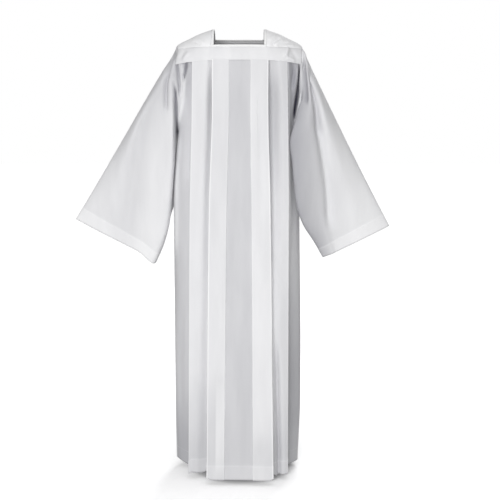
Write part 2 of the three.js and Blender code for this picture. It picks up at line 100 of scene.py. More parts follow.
lit = node(tree, "ShaderNodeMath", operation="MULTIPLY")
join(tree,
     (place, "Object", shrink, "Vector"), (shrink, "Vector", near, "Vector"), (near, "Fac", glow, "Value"),
     (place, "Object", foot, "Vector"), (foot, "Vector", round_foot, "Vector"),
     (round_foot, "Fac", fade, "Value"), (glow, "Result", lit, 0), (fade, "Result", lit, 1),
     (lit, "Value", paint, "Emission Strength"))

floor_mesh = bpy.data.meshes.new("floor")
reach = 60.0
corners = [(reach * x, reach * y, FLOOR_HEIGHT) for x, y in ((-1, -1), (1, -1), (1, 1), (-1, 1))]
floor_mesh.from_pydata(corners, [], [(0, 1, 2, 3)])
floor_mesh.materials.append(floor_paint)
floor = placed("floor", floor_mesh)
floor.visible_diffuse = False


def soft_lamp(name, place, aim, width, height, watts):
    """A broad white lamp at place that faces aim."""
    lamp = bpy.data.lights.new(name, "AREA")
    lamp.shape = "RECTANGLE"
    lamp.size, lamp.size_y = width, height
    lamp.energy = watts
    holder = placed(name, lamp)
    holder.location = place
    holder.rotation_euler = (Vector(aim) - Vector(place)).to_track_quat("-Z", "Y").to_euler()


soft_lamp("lamp_front", (-0.4, -3.3, -0.5), (0.0, 0.0, -0.75), 1.4, 1.2, 75)
soft_lamp("lamp_top", (0.3, -0.9, 2.4), (0.0, 0.0, -0.3), 1.2, 1.2, 14)
soft_lamp("lamp_back", (0.9, 3.2, 0.9), (0.0, 0.0, -0.5), 1.5, 1.5, 75)

world = bpy.data.worlds.new("pale_surroundings")
world.use_nodes = True
sky = world.node_tree.nodes["Background"]
sky.inputs["Color"].default_value = (1.0, 1.0, 1.0, 1)
path = node(world.node_tree, "ShaderNodeLightPath")
seen = node(world.node_tree, "ShaderNodeMapRange", To_Min=0.33, To_Max=1.0)
join(world.node_tree, (path, "Is Camera Ray", seen, "Value"), (seen, "Result", sky, "Strength"))
bpy.context.scene.world = world
bpy.context.scene.view_settings.view_transform = "Standard"

camera = placed("camera", bpy.data.cameras.new("camera"))
camera.data.lens = CAMERA_LENS
camera.data.sensor_width = 36
camera.location = CAMERA_PLACE
camera.rotation_euler = (CAMERA_TILT, 0, 0)
bpy.context.scene.camera = camera

# The skirt
# Front and back panels of white polyester and cotton, in plain weave. Each is one width of cloth, pressed
# into six folds that are caught in the yoke seam and fall free to a hem turned up double.
MM = 0.001  # the meshes from here on are laid out in millimetres
CLOTH = 1.2  # thickness of the cloth as it is shown
SEWING_LIFT = 0.7  # from the middle of the cloth out to the thread on it
LENGTH = 1476  # from the neck points to the hem
HEM_DEPTH = 48
# How far the hem lies above that length, or below it, at these distances from the middle of the panel.
HEM_PLACES = [125, 150, 163, 172, 222]
HEM_RISE = {"left": [-4, 0, 0, -12, 9], "right": [-4, 0, 0, -9, 1]}
HEM_RISE_TOP = -1150  # the rise starts there
CORNER_RISE, CORNER_HEIGHT, CORNER_WIDTH = 7, 22, 6  # the hem is turned up a little at the deep folds
SIDE_SEAM_LAYERS, SIDE_SEAM_WIDTH = 0.6, 9  # how much whiter the side seams are, and how far from them
YOKE_LOW_Z, YOKE_DROP = -107, 11
YOKE_HALF, YOKE_DEPTH, YOKE_TURN = 200, 110, 44
YOKE_END = 150  # from here outwards the yoke follows the armhole
YOKE_SHAPE_Z = -220  # down to here the cloth follows the curve of the yoke's edge
ARCH_POWER = 1.7
ARMHOLE_TOP_Z, UNDERARM_Z = -54, -330
ARMHOLE_HALF, ARMHOLE_POWER = 66, 2.4
ARMHOLE_Z = [ARMHOLE_TOP_Z, -118, -180, UNDERARM_Z]
ARMHOLE_OUT = {"left": [205, 192, 184, 203], "right": [205, 205, 203, 203]}
LEVELS = [YOKE_LOW_Z, -240, -590, -LENGTH]
SIDE_POWER = [2.1, 1.9, 1.7, 1.5]
SIDE_Z = [UNDERARM_Z, -420, -525, -650, -1100, -1240, -LENGTH]
SIDE_X = {"left": [203, 213, 223, 223, 224, 224, 222], "right": [203, 203, 203, 204, 211, 211, 203]}
HOLLOW_Z = [YOKE_LOW_Z, -240, -590, -900, -LENGTH]
FLAT = [0, 0, 0, 0, 0]
SHALLOW = [3.2, 3.4, 3.6, 3.8, 4]
# For each fold: x and y of its edge, step back to the layer beneath, lap folded under, the side it is
# tucked to, the width of the hollow beside it if it has one, and how much whiter its pressed edge is, for the
# cloth doubled there and as a painted highlight.
FRONT_FOLDS = [
    dict(x=[-151, -152, -161, -172], y=[110, 120, 128], step=[8, 38, 42, 58, 84],
         lap=22, under=1, edge=0.2),
    dict(x=[-86, -86, -97, -108], y=[122, 146, 184], step=[12, 48, 50, 56, 74], lap=24, under=1,
         hollow=[15, 18, 21, 24, 34], edge=0.6),
    dict(x=[-32, -32, -40, -50], y=[126, 149, 187], step=SHALLOW, lap=22, under=-1, edge=0.1),
    dict(x=[38, 37, 41, 46], y=[126, 150, 191], step=SHALLOW, lap=22, under=1, edge=0.1),
    dict(x=[95, 94, 102, 113], y=[122, 148, 193], step=[18, 56, 44, 30, 44], lap=24, under=-1,
         hollow=[32, 42, 38, 26, 26], edge=0.6),
    dict(x=[156, 158, 162, 163], y=[110, 122, 140], step=[14, 30, 34, 66, 100],
         lap=22, under=-1, edge=0.3),
]
BACK_FOLDS = [
    dict(x=[-152, -153, -160, -168], y=[106, 110, 122], step=[12, 24, 38, 48, 66],
         lap=22, under=1, edge=0.4),
    dict(x=[-90, -90, -99, -110], y=[118, 132, 162], step=[12, 32, 40, 44, 50], lap=24, under=1,
         hollow=[20, 26, 25, 18, 20], edge=0.7),
    dict(x=[-36, -36, -43, -52], y=[120, 134, 168], step=SHALLOW, lap=22, under=-1, edge=0.1),
    dict(x=[36, 36, 42, 48], y=[120, 134, 166], step=SHALLOW, lap=22, under=1, edge=0.1),
    dict(x=[90, 90, 98, 106], y=[118, 132, 160], step=[12, 34, 40, 43, 48], lap=24, under=-1,
         hollow=[20, 28, 26, 22, 18], edge=0.7),
    dict(x=[152, 152, 157, 160], y=[106, 110, 120], step=[12, 24, 40, 49, 66],
         lap=22, under=-1, edge=0.4),
]
FOLD_ROUND = 4.5  # widest turn of a fold edge
UNDER_YOKE = 0.6  # how far behind the yoke's face the pleats start
WIDE = 1e3  # the turn of a corner that only guides the cloth
SIDE_STEPS = 8
CELL = 6  # width of the mesh's cells where the cloth is nearly flat
# The whiter line along a pressed edge is partly doubled cloth and partly a painted highlight.
PRESSED = 3.2  # width of the whiter line along a pressed edge
LAP_REACH = 30  # how far the lap behind the inner left fold shows
# How thick the cloth lies on each face between the folds, from left to right, at each height, with painted
# light and shade: lower on the side faces and the set-back middle face, higher on the faces that stand
# forward.
FACE_Z = [YOKE_LOW_Z, -240, -590, -1100, -1200, -1300, -1380, -LENGTH]
FACE_LAYERS_AND_LIGHT = [
    [-0.25, 0.0, 0.2, 0.15, 0.1, -0.15, -0.35, -0.45],
    [0.5, 0.5, 0.5, 0.5, 0.4, 0.3, 0.15, 0.05],
    [0.45, 0.36, 0.4, 0.55, 0.35, 0.2, 0.2, 0.2],
    [0.1, 0.0, 0.05, 0.05, 0.03, 0.03, 0.05, 0.1],
    [0.42, 0.5, 0.52, 0.64, 0.62, 0.55, 0.35, 0.35],
    [0.25, 0.15, 0.35, 0.42, 0.42, 0.35, 0.15, 0.1],
    [-0.4, -0.1, 0.6, -0.15, -0.2, -0.2, 0.0, 0.05],
]
# The lap is whiter partly for its doubled cloth and partly as painted light.
LAP_LAYERS_AND_LIGHT = [0.35, 0.35, 0.36, 0.45, 0.55, 0.6, 0.6, 0.15]  # the lap behind the inner left fold
# Soft creases of the front: each follows a line of points, given as x and height. width is its half width,
# and out how far the cloth stands out (a ridge) or sinks (a trough). One that is beside a pleat leaves the
# pleat itself as it is. power makes its walls steep, and straight sinks it straight back. Its painted shade,
# where given, darkens the colour along the crease, and below 0 lightens it as painted light.
FRONT_CREASES = [
    dict(line=[(-154, -90), (-154, -150), (-156, -260), (-159, -420), (-162, -520)],
         width=17, out=-20, beside=True),
    dict(line=[(157, -40), (159, -160), (161, -300), (164, -520), (165, -760)],
         width=9, out=20, straight=True, beside=True),
    dict(line=[(-170, -104), (-173, -128), (-176, -141), (-180, -155), (-187, -176)],
         width=3.6, out=-14, straight=True, painted_shade=0.9),
    dict(line=[(119, -1000), (127, -1200), (133, -1400), (136, -1700)], width=9, out=-20, painted_shade=0.3),
    dict(line=[(174, -95), (177, -160), (177, -280), (176, -420)], width=9, out=-1, painted_shade=0.5, beside=True),
    dict(line=[(-202, -320), (-208, -450), (-213, -560), (-214, -760)],
         width=9, out=1, painted_shade=-0.8, beside=True),
    dict(line=[(-189, -200), (-193, -290), (-201, -430)], width=6, out=3),
    dict(line=[(-166, -150), (-178, -190), (-188, -232)], width=7, out=3),
    dict(line=[(190, -124), (185, -160), (178, -212)], width=4.5, out=7),
    dict(line=[(197, -112), (197, -169), (194, -201), (189, -233), (184, -266), (180, -305)],
         width=[3.5, 4.5, 6, 6.5, 5, 3], out=-50, power=4, straight=True, painted_shade=1.4),
    dict(line=[(181, -122), (175, -165), (169, -205)], width=4, out=-4),
    dict(line=[(-120, -125), (-122, -300), (-130, -620)], width=9, out=-1.6),
    dict(line=[(-66, -200), (-70, -520), (-78, -900)], width=10, out=1.5),
    dict(line=[(66, -180), (70, -420), (74, -760)], width=9, out=-1.5),
    dict(line=[(128, -130), (130, -330), (133, -560)], width=9, out=1.8),
    dict(line=[(2, -400), (-4, -760), (0, -1120)], width=14, out=-1.6),
    dict(line=[(-196, -900), (-204, -1130), (-200, -1330)], width=12, out=-3),
]
BACK_CREASES = [
    dict(line=[(-168, -122), (-176, -170), (-188, -240)], width=7, out=-5),
    dict(line=[(172, -124), (180, -180), (190, -250)], width=7, out=-5),
    dict(line=[(-128, -130), (-124, -340), (-132, -700)], width=10, out=2),
    dict(line=[(62, -200), (66, -500), (72, -860)], width=10, out=-2),
    dict(line=[(-6, -300), (4, -700), (-2, -1200)], width=15, out=2.2),
    dict(line=[(194, -820), (200, -1100), (196, -1340)], width=13, out=-3),
]


def blend(a, b, slope_a, slope_b, gap, s):
    """The point at share s of a smooth curve from a to b, gap long, with its slopes at both ends."""
    ease = s * s * (3 - 2 * s)
    lift = gap * (s * (1 - s) ** 2 * slope_a - s * s * (1 - s) * slope_b)
    return a * (1 - ease) + b * ease + lift


def through(heights, values, z):
    """A smooth value at z through a table whose heights fall, without overshoot."""
    last = len(heights) - 1
    if z >= heights[0]:
        return values[0]
    if z <= heights[last]:
        return values[last]
    gaps = [heights[i + 1] - heights[i] for i in range(last)]
    rises = [(values[i + 1] - values[i]) / gaps[i] for i in range(last)]

    def slope(i):
        if i == 0:
            return rises[0]
        if i == last:
            return rises[-1]
        product = rises[i - 1] * rises[i]
        return 2 * product / (rises[i - 1] + rises[i]) if product > 0 else 0

    i = 0
    while z < heights[i + 1]:
        i += 1
    s = (z - heights[i]) / gaps[i]
    return blend(values[i], values[i + 1], slope(i), slope(i + 1), gaps[i], s)


def bulge(value, power):
    """A sine or cosine for a section that is fuller than a circle above power 2 and leaner below it."""
    return math.copysign(abs(value) ** (2 / power), value)


def yoke_depth(x):
    """How far from the middle plane the yoke's lower edge lies, in front and behind."""
    return YOKE_DEPTH - YOKE_TURN * (abs(x) / YOKE_HALF) ** 4


def yoke_low(x):
    """The height of the yoke's lower edge."""
    return YOKE_LOW_Z - YOKE_DROP * (abs(x) / YOKE_HALF) ** 3


def side_name(sign):
    """The name under which the tables hold the side."""
    return "left" if sign < 0 else "right"


def armhole_at(z, sign):
    """The armhole edge at height z, as its distances out and from the middle plane."""
    out = through(ARMHOLE_Z, ARMHOLE_OUT[side_name(sign)], z)
    low = ARMHOLE_Z[1]
    above = z > low
    share = (z - low) / (ARMHOLE_TOP_Z - low) if above else (low - z) / (low - UNDERARM_Z)
    share = min(max(share, 0), 1)
    power, root = (ARCH_POWER, ARCH_POWER) if above else (ARMHOLE_POWER, 2)
    return out, ARMHOLE_HALF * (1 - share ** power) ** (1 / root)


def fold_turns(row, z):
    """The four turns of the cloth at one fold, in plan, from left to right."""
    x = through(LEVELS, row["x"], z)
    y = through(LEVELS, [yoke_depth(row["x"][0]) - UNDER_YOKE] + row["y"], z)
    step = through(HOLLOW_Z, row["step"], z)
    gap = min(step / 2, FOLD_ROUND)
    tuck = x + row["under"] * row["lap"]
    turns = [(x, y), (x, y - gap), (tuck, y - step + gap), (tuck, y - step)]
    turns = [(px, py, 0.45 * gap) for px, py in turns]
    return turns[::-1] if row["under"] > 0 else turns


def side_curve(start, sign, z, edge_z):
    """From the outer pleat's innermost turn round to the side seam or the armhole edge."""
    seam_x = through(SIDE_Z, SIDE_X[side_name(sign)], z)
    hole_x, hole_y = armhole_at(edge_z, sign)
    power = through(LEVELS, SIDE_POWER, z)
    open_here = edge_z > UNDERARM_Z
    end_y = max(hole_y if open_here else 0, 0.15)
    last = math.acos(min(max((end_y / start[1]) ** (power / 2), 0), 1))
    reach = seam_x - abs(start[0])
    end_x = abs(start[0]) + reach * math.sin(last) ** (2 / power)
    shift = hole_x - end_x if open_here else 0
    points = []
    for i in range(1, SIDE_STEPS + 1):
        share = i / SIDE_STEPS
        angle = last * share
        x = abs(start[0]) + reach * math.sin(angle) ** (2 / power) + shift * share * share
        points.append((sign * x, start[1] * math.cos(angle) ** (2 / power), WIDE))
    return points


def face_guides(before, after, z):
    """Two points of a face, where the cloth sinks beside the fold edge that lies over it."""
    over, side, other = (after, -1, before) if after["under"] > 0 else (before, 1, after)
    hollow = over.get("hollow", FLAT)
    wide = through(HOLLOW_Z, hollow, z)
    if (over is before and before["under"] > 0) or wide == 0:
        return []
    edge = through(LEVELS, over["x"], z)
    top = yoke_depth(over["x"][0] + side * hollow[0]) - UNDER_YOKE
    high_y = through(LEVELS, [top] + [y + 1 for y in other["y"]], z)
    edge_y = through(LEVELS, [yoke_depth(over["x"][0]) - UNDER_YOKE] + over["y"], z)
    low_y = edge_y - through(HOLLOW_Z, over["step"], z) + 2
    low = (edge + side * 0.15 * wide, low_y, WIDE)
    high = (edge + side * wide, max(low_y, high_y), WIDE)
    return [high, low] if side < 0 else [low, high]


def panel_corners(folds, z, edge_z):
    """The panel's section at height z as corners, each with how much of it is rounded off."""
    turns = [turn for row in folds for turn in fold_turns(row, z)]
    line = []
    for row, fold in enumerate(folds):
        line += turns[4 * row:4 * row + 4]
        if row == len(folds) - 1:
            break
        guides = face_guides(fold, folds[row + 1], z)
        stops = [turns[4 * row + 3]] + guides + [turns[4 * row + 4]]
        halfway = 2 if guides and fold["under"] < 0 else 0
        a, b = stops[halfway], stops[halfway + 1]
        guides.insert(halfway, ((a[0] + b[0]) / 2, (a[1] + b[1]) / 2, WIDE))
        line += guides
    left = side_curve(line[0], -1, z, edge_z)[::-1]
    right = side_curve(line[-1], 1, z, edge_z)
    return left + line + right


def rounded_line(corners, spans, bend=4):
    """Points along a line of corners. Each corner becomes a small arc, or a wide one where it only guides the
    cloth, and each straight stretch left between two arcs has its own number of steps."""
    points = np.array([c[:2] for c in corners], float)
    lengths = np.maximum(np.linalg.norm(np.diff(points, axis=0), axis=1), 1e-9)
    line = [points[0]]
    for i in range(1, len(points) - 1):
        wide = corners[i][2] == WIDE
        start = points[i] + (points[i - 1] - points[i]) * min(corners[i][2] / lengths[i - 1], 0.5)
        stop = points[i] + (points[i + 1] - points[i]) * min(corners[i][2] / lengths[i], 0.5)
        steps = 0 if wide and corners[i - 1][2] == WIDE and i > 1 else spans[i - 1]
        from_here = line[-1]
        line += [from_here + (start - from_here) * k / steps for k in range(1, steps + 1)]
        turns = 3 + max(spans[i - 1], spans[i]) // 2 if wide else bend
        for k in range(1, turns + 1):
            s = k / turns
            line.append((1 - s) ** 2 * start + 2 * s * (1 - s) * points[i] + s * s * stop)
    from_here = line[-1]
    line += [from_here + (points[-1] - from_here) * k / spans[-1] for k in range(1, spans[-1] + 1)]
    return np.array(line)


def grid_normals(grid, ring=False):
    """Unit normals of a grid of points, from its own neighbours."""
    if ring:
        along = np.roll(grid, -1, axis=1) - np.roll(grid, 1, axis=1)
    else:
        along = np.gradient(grid, axis=1)
    down = np.gradient(grid, axis=0)
    normal = np.cross(along, down)
    return normal / np.maximum(np.linalg.norm(normal, axis=2, keepdims=True), 1e-9)


def creased(grid, creases, normals, layers_and_painted_light, beside=True):
    """The grid with soft creases, and its layers with the creases' painted shade. Each crease swells or sinks
    the cloth along its line and fades at its ends; its painted shade darkens the colour along it, and lightens
    it as painted light where it is below 0."""
    lift = np.zeros(grid.shape)
    layers_and_painted_light = np.array(np.broadcast_to(layers_and_painted_light, grid.shape[:2]))
    plan = grid[:, :, [0, 2]]
    for crease in creases:
        points = np.array(crease["line"], float)
        lengths = np.linalg.norm(np.diff(points, axis=0), axis=1)
        run = 0
        nearest = np.full(layers_and_painted_light.shape, 1e9)
        along = np.zeros(layers_and_painted_light.shape)
        for a, b, length in zip(points[:-1], points[1:], lengths):
            t = np.clip(((plan - a) @ (b - a)) / length ** 2, 0, 1)
            off = np.linalg.norm(plan - (a + t[..., None] * (b - a)), axis=2)
            closer = off < nearest
            nearest = np.where(closer, off, nearest)
            along = np.where(closer, (run + t * length) / lengths.sum(), along)
            run += length
        ends = np.clip(2.2 * (1 - np.abs(2 * along - 1)) + 0.15, 0, 1)
        ends = ends * ends * (3 - 2 * ends)
        width = np.broadcast_to(crease["width"], len(points))
        width = np.interp(along, np.concatenate([[0], np.cumsum(lengths)]) / lengths.sum(), width)
        here = np.exp(-(nearest / width) ** crease.get("power", 2)) * ends
        if "beside" in crease:
            here = here * beside
        if "straight" in crease:
            lift[..., 1] += crease["out"] * here * np.sign(normals[..., 1])
        else:
            lift += crease["out"] * here[..., None] * normals
        # Painted shade along the crease.
        layers_and_painted_light = layers_and_painted_light - crease.get("painted_shade", 0) * here
    return grid + lift, layers_and_painted_light


def run_down(grid):
    """How far it is from the grid's first row to each row, on average over its columns."""
    steps = np.linalg.norm(np.diff(grid, axis=0), axis=2).mean(axis=1)
    return np.concatenate([[0], np.cumsum(steps)])


def cloth_piece(name, grid, material, layers_and_painted_light, ring=False):
    """A piece of cloth on a grid of points in millimetres, with its weave mapped in metres along it. The
    layers value says how much cloth lies together at each point, from 0 for one layer to 1 for three, and also
    carries
    painted light and shade: it is raised where light is painted on and lowered, below 0 too, where shade is
    painted."""
    rows, columns = grid.shape[:2]
    mesh = bpy.data.meshes.new(name)
    index = np.arange(rows * columns).reshape(rows, columns)
    right = np.roll(index, -1, axis=1) if ring else index[:, 1:]
    left = index if ring else index[:, :-1]
    faces = np.stack([left[:-1], right[:-1], right[1:], left[1:]], axis=-1).reshape(-1, 4)
    mesh.from_pydata((grid.reshape(-1, 3) * MM).tolist(), [], faces[:, ::-1].tolist())
    wrapped = np.concatenate([grid, grid[:, :1]], axis=1) if ring else grid
    u = run_down(wrapped.transpose(1, 0, 2)) * MM
    v = run_down(grid) * MM
    weave = mesh.uv_layers.new(name="weave")
    cell_row, cell_column = np.divmod(np.arange(len(faces)), left.shape[1])
    corner = np.stack([
        np.stack([u[cell_column], v[cell_row + 1]], 1), np.stack([u[cell_column + 1], v[cell_row + 1]], 1),
        np.stack([u[cell_column + 1], v[cell_row]], 1), np.stack([u[cell_column], v[cell_row]], 1)], 1)
    weave.data.foreach_set("uv", corner.reshape(-1).astype(np.float32))
    # The layers attribute holds how thick the cloth lies, with painted light and shade added in.
    layers_and_light_attribute = mesh.attributes.new("layers_and_painted_light", "FLOAT", "POINT")
    amount = np.broadcast_to(np.asarray(layers_and_painted_light, np.float32), (rows, columns))
    layers_and_light_attribute.data.foreach_set("value", amount.reshape(-1))
    mesh.polygons.foreach_set("use_smooth", [True] * len(mesh.polygons))
    mesh.materials.append(material)
    piece = placed(name, mesh)
    wall = piece.modifiers.new("wall", "SOLIDIFY")
    wall.thickness = CLOTH * MM
    wall.offset = 0
    return piece


def white_cloth(name, plain, thick_and_lit, roughness, weave_depth):
    """Plain-woven white cloth. Its layers attribute says how thick it lies and carries painted light and
    shade:
    at 1 the colour is whiter, for several layers and for painted light, and below 0 it is darker as painted
    shade."""
    material = bpy.data.materials.new(name)
    material.use_nodes = True
    tree = material.node_tree
    cloth = tree.nodes["Principled BSDF"]
    cloth.inputs["Roughness"].default_value = roughness
    cloth.inputs["Sheen Weight"].default_value = 0.12
    cloth.inputs["Sheen Roughness"].default_value = 0.5
    cloth.inputs["Specular IOR Level"].default_value = 0.25
    place = node(tree, "ShaderNodeTexCoord")
    # Colour: a very slight, slow change of tone, whiter where the cloth is double and where light is painted
    # on, and darker where shade is painted.
    slow = node(tree, "ShaderNodeTexNoise", Scale=9.0, Detail=3.0, Roughness=0.5)
    stretch = node(tree, "ShaderNodeMapping", Scale=(3.0, 3.0, 0.5))
    tone = node(tree, "ShaderNodeMapRange", From_Min=0.3, From_Max=0.7, To_Min=-0.08, To_Max=0.08)
    # The layers attribute brings in the doubled cloth and the painted light and shade.
    layers_and_light_node = node(tree, "ShaderNodeAttribute", attribute_name="layers_and_painted_light")
    more = node(tree, "ShaderNodeMath", operation="ADD")
    shade = node(tree, "ShaderNodeMix", data_type="RGBA", clamp_factor=False)
    shade.inputs[6].default_value = (*plain, 1)
    shade.inputs[7].default_value = (*thick_and_lit, 1)
    join(tree,
         (place, "Object", stretch, "Vector"), (stretch, "Vector", slow, "Vector"),
         (slow, "Fac", tone, "Value"), (tone, "Result", more, 0), (layers_and_light_node, "Fac", more, 1),
         (more, "Value", shade, 0), (shade, 2, cloth, "Base Color"))
    # Relief: threads over and under each other along the piece, and faint wrinkles that run down it.
    uv = node(tree, "ShaderNodeUVMap", uv_map="weave")
    threads = node(tree, "ShaderNodeMath", operation="MULTIPLY")
    for entry, direction in enumerate("XY"):
        yarn = node(tree, "ShaderNodeTexWave", wave_type="BANDS", bands_direction=direction,
                    Scale=320.0, Distortion=0.4)
        join(tree, (uv, "UV", yarn, "Vector"), (yarn, "Fac", threads, entry))
    fine = node(tree, "ShaderNodeBump", Strength=0.35, Distance=weave_depth)
    runs = node(tree, "ShaderNodeMapping", Scale=(1.0, 1.0, 0.1))
    wrinkles = node(tree, "ShaderNodeTexNoise", Scale=26.0, Detail=2.0, Roughness=0.4)
    soft = node(tree, "ShaderNodeBump", Strength=0.3, Distance=0.003)
    join(tree,
         (threads, "Value", fine, "Height"), (place, "Object", runs, "Vector"),
         (runs, "Vector", wrinkles, "Vector"), (wrinkles, "Fac", soft, "Height"),
         (fine, "Normal", soft, "Normal"), (soft, "Normal", cloth, "Normal"))
    return material


alb_cloth = white_cloth("alb_cloth", (0.6, 0.6, 0.62), (0.92, 0.92, 0.93), 0.9, 0.0002)


def before_edge(x):
    """The yoke's own x for a point of the panel's top edge, because the yoke's ends follow the armhole."""
    end = abs(edge_x(math.copysign(YOKE_HALF, x), YOKE_LOW_Z - YOKE_DROP))
    over = max(0, abs(x) - YOKE_END) / (end - YOKE_END)
    return min(abs(x), YOKE_END) + min(1, over) * (YOKE_HALF - YOKE_END)


def edge_x(x, z):
    """The end of the yoke follows the armhole edge."""
    share = max(0, (abs(x) - YOKE_END) / (YOKE_HALF - YOKE_END))
    end = through(ARMHOLE_Z, ARMHOLE_OUT[side_name(x)], z) - YOKE_HALF
    return x + math.copysign(share * (end - 0.5), x)


def layers_and_light_at(folds, x, z):
    """How thick the cloth lies at each x, with painted light and shade: by faces, whiter along pressed edges
    and over one lap, partly as painted highlights.
    """
    edges = [through(LEVELS, fold["x"], z) for fold in folds]
    face = np.searchsorted(edges, x)
    amount = np.array([through(FACE_Z, row, z) for row in FACE_LAYERS_AND_LIGHT])[face]
    inner = edges[2]
    lap = (x < inner) & (x > inner - LAP_REACH)
    amount = np.where(lap, np.maximum(amount, through(FACE_Z, LAP_LAYERS_AND_LIGHT, z)), amount)
    for edge, fold in zip(edges, folds):
        inward = (x - edge) * fold["under"]
        amount = amount + fold["edge"] * np.exp(-(inward / PRESSED) ** 4) * (inward > -1.5)
    return np.clip(amount, -0.4, 1)


def panel_grid(folds, facing, creases):
    """The panel as rows of points from just behind the yoke seam to the hem, and its layers with their painted
    light and shade.
    """
    hem_top = -LENGTH + HEM_DEPTH
    heights = np.concatenate([
        [YOKE_LOW_Z + 7, YOKE_LOW_Z + 3], np.linspace(YOKE_LOW_Z, -340, 36),
        np.linspace(-350, hem_top + 12, 76)[1:], [hem_top + 1.5, hem_top],
        np.linspace(hem_top - 1.5, -LENGTH, 9)])
    middle = panel_corners(folds, -700, -700)  # the steps across are shared out at half height
    spans = []
    for a, b in zip(middle[:-1], middle[1:]):
        far = math.hypot(b[0] - a[0], b[1] - a[1])
        spans.append(int(min(max(round(far / CELL), 1), 12)))
    rows, layers_and_painted_light, beside = [], [], []
    for level in heights:
        z = min(level, YOKE_LOW_Z)
        drop = min(max((z - YOKE_SHAPE_Z) / (YOKE_LOW_Z - YOKE_SHAPE_Z), 0), 1)
        edge_z = z - YOKE_DROP * drop
        plan = rounded_line(panel_corners(folds, z, edge_z), spans)
        lifted = min(max((HEM_RISE_TOP - z) / (HEM_RISE_TOP + LENGTH), 0), 1) ** 2
        fall = np.array([(yoke_low(before_edge(x)) - YOKE_LOW_Z - 0.5) * drop for x in plan[:, 0]])
        sides = [np.interp(np.abs(plan[:, 0]), HEM_PLACES, HEM_RISE[side]) for side in ("left", "right")]
        rise = lifted * np.where(plan[:, 0] < 0, *sides)
        corner = min(max((-LENGTH + CORNER_HEIGHT - z) / CORNER_HEIGHT, 0), 1) ** 2
        for fold in (folds[0], folds[1], folds[4]):
            rise += CORNER_RISE * corner * np.exp(-((plan[:, 0] - fold["x"][-1]) / CORNER_WIDTH) ** 2)
        inside = 1 - 0.0035 * (level - z)
        rows.append(np.stack([plan[:, 0], facing * inside * plan[:, 1], level + fall + rise], 1))
        left, right = (through(LEVELS, fold["x"], z) for fold in (folds[0], folds[-1]))
        beside.append((plan[:, 0] < left - 0.3) | (plan[:, 0] > right + 0.3))
        hem = (z < hem_top + 1) * np.where(beside[-1], 0, 0.14)
        run = run_down(plan[:, None])
        seam = SIDE_SEAM_LAYERS * np.exp(-(np.minimum(run, run[-1] - run) / SIDE_SEAM_WIDTH) ** 4)
        layers_and_painted_light.append(np.minimum(layers_and_light_at(folds, plan[:, 0], z) + hem + seam, 1))
    grid, layers_and_painted_light, beside = np.array(rows), np.array(layers_and_painted_light), np.array(beside)
    normals = grid_normals(grid)
    if np.sum(normals[:, :, 1]) * facing < 0:
        grid, normals, layers_and_painted_light, beside = grid[:, ::-1], -normals[:, ::-1], layers_and_painted_light[:, ::-1], beside[:, ::-1]
    grid, layers_and_painted_light = creased(grid, creases, normals, layers_and_painted_light, beside)
    grid[-10:] += np.where(beside[-10:], 0.1, 0.5)[..., None] * normals[-10:]
    return grid, layers_and_painted_light


def sewn_line(grid, row, next_row, share, ring=False):
    """A line of sewing on the outside of a piece, between two of its rows."""
    normals = grid_normals(grid, ring)
    lines = [grid[k] + SEWING_LIFT * normals[k] for k in (row, next_row)]
    return lines[0] * (1 - share) + lines[1] * share, ring


sewn = []  # lines of sewing, each with whether it closes
for name, folds, facing, creases, replaced, size, area in (
        ("skirt_front", FRONT_FOLDS, -1, FRONT_CREASES, "front_panel", (0.93, 1.43), 1.24),
        ("skirt_back", BACK_FOLDS, 1, BACK_CREASES, "back_panel", (0.90, 1.43), 1.19)):
    grid, layers_and_painted_light = panel_grid(folds, facing, creases)
    sewn.append(sewn_line(grid, -9, -8, 0.4))  # just below the top of the hem
    piece = cloth_piece(name, grid, alb_cloth, layers_and_painted_light)
    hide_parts(replaced)
    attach(piece, "root")

# The yoke
# A square yoke of doubled cloth: a band across the front, a deeper one across the back and a piece over each
# shoulder. The seams are pressed flat, and the bands' lower edges are topstitched over the pleats.
NECK_HALF, FRONT_NECK_Z, BACK_NECK_Z, BACK_SEAM_SLOPE = 90, -66, -30, 0.4
SHOULDER_OUT = [90, 135, 165, 195, 205]
SHOULDER_HEIGHT = [0, -16, -31, -47, -55]
BAND_RIDGE = 0.9  # how far the turned lower edge stands out
BAND_TURNING = 6  # width of that ridge, up to the topstitching
YOKE_CREASES = [
    dict(line=[(159, -66), (154, -80), (149, -100)], width=6, out=-8),
    dict(line=[(150, -100), (166, -104), (182, -113)], width=6, out=-4),
    dict(line=[(170, -76), (180, -88), (190, -104)], width=8, out=3),
    dict(line=[(-160, -80), (-172, -94), (-182, -112)], width=5, out=-3),
    dict(line=[(-176, -72), (-184, -86), (-192, -104)], width=6, out=2.5),
    *[dict(line=[(x, -70), (x, -104)], width=2, out=-0.8) for x in (-89, 89)],
]
SHOULDER_CREASES = {
    "left": [
        dict(line=[(-124, -60), (-136, -50), (-150, -44)], width=4, out=-3),
        dict(line=[(-110, -58), (-124, -44), (-134, -34)], width=4, out=2.5),
        dict(line=[(-176, -70), (-190, -62), (-198, -58)], width=5, out=2),
    ],
    "right": [
        dict(line=[(104, -62), (116, -46), (134, -30)], width=4, out=-4.5),
        dict(line=[(114, -62), (128, -48), (146, -38)], width=3.5, out=4),
        dict(line=[(126, -64), (140, -54), (160, -46)], width=4, out=-4),
        dict(line=[(98, -46), (108, -34), (120, -24)], width=3.5, out=2.5),
        dict(line=[(146, -66), (160, -58), (180, -56)], width=4, out=2.5),
    ],
}


def shoulder_top(x):
    """The height of the shoulder line."""
    return through([-v for v in SHOULDER_OUT], SHOULDER_HEIGHT, -abs(x))


def back_seam(x):
    """The height of the seam, or the neck edge, at the top of the back band."""
    return BACK_NECK_Z - BACK_SEAM_SLOPE * max(0, abs(x) - NECK_HALF)


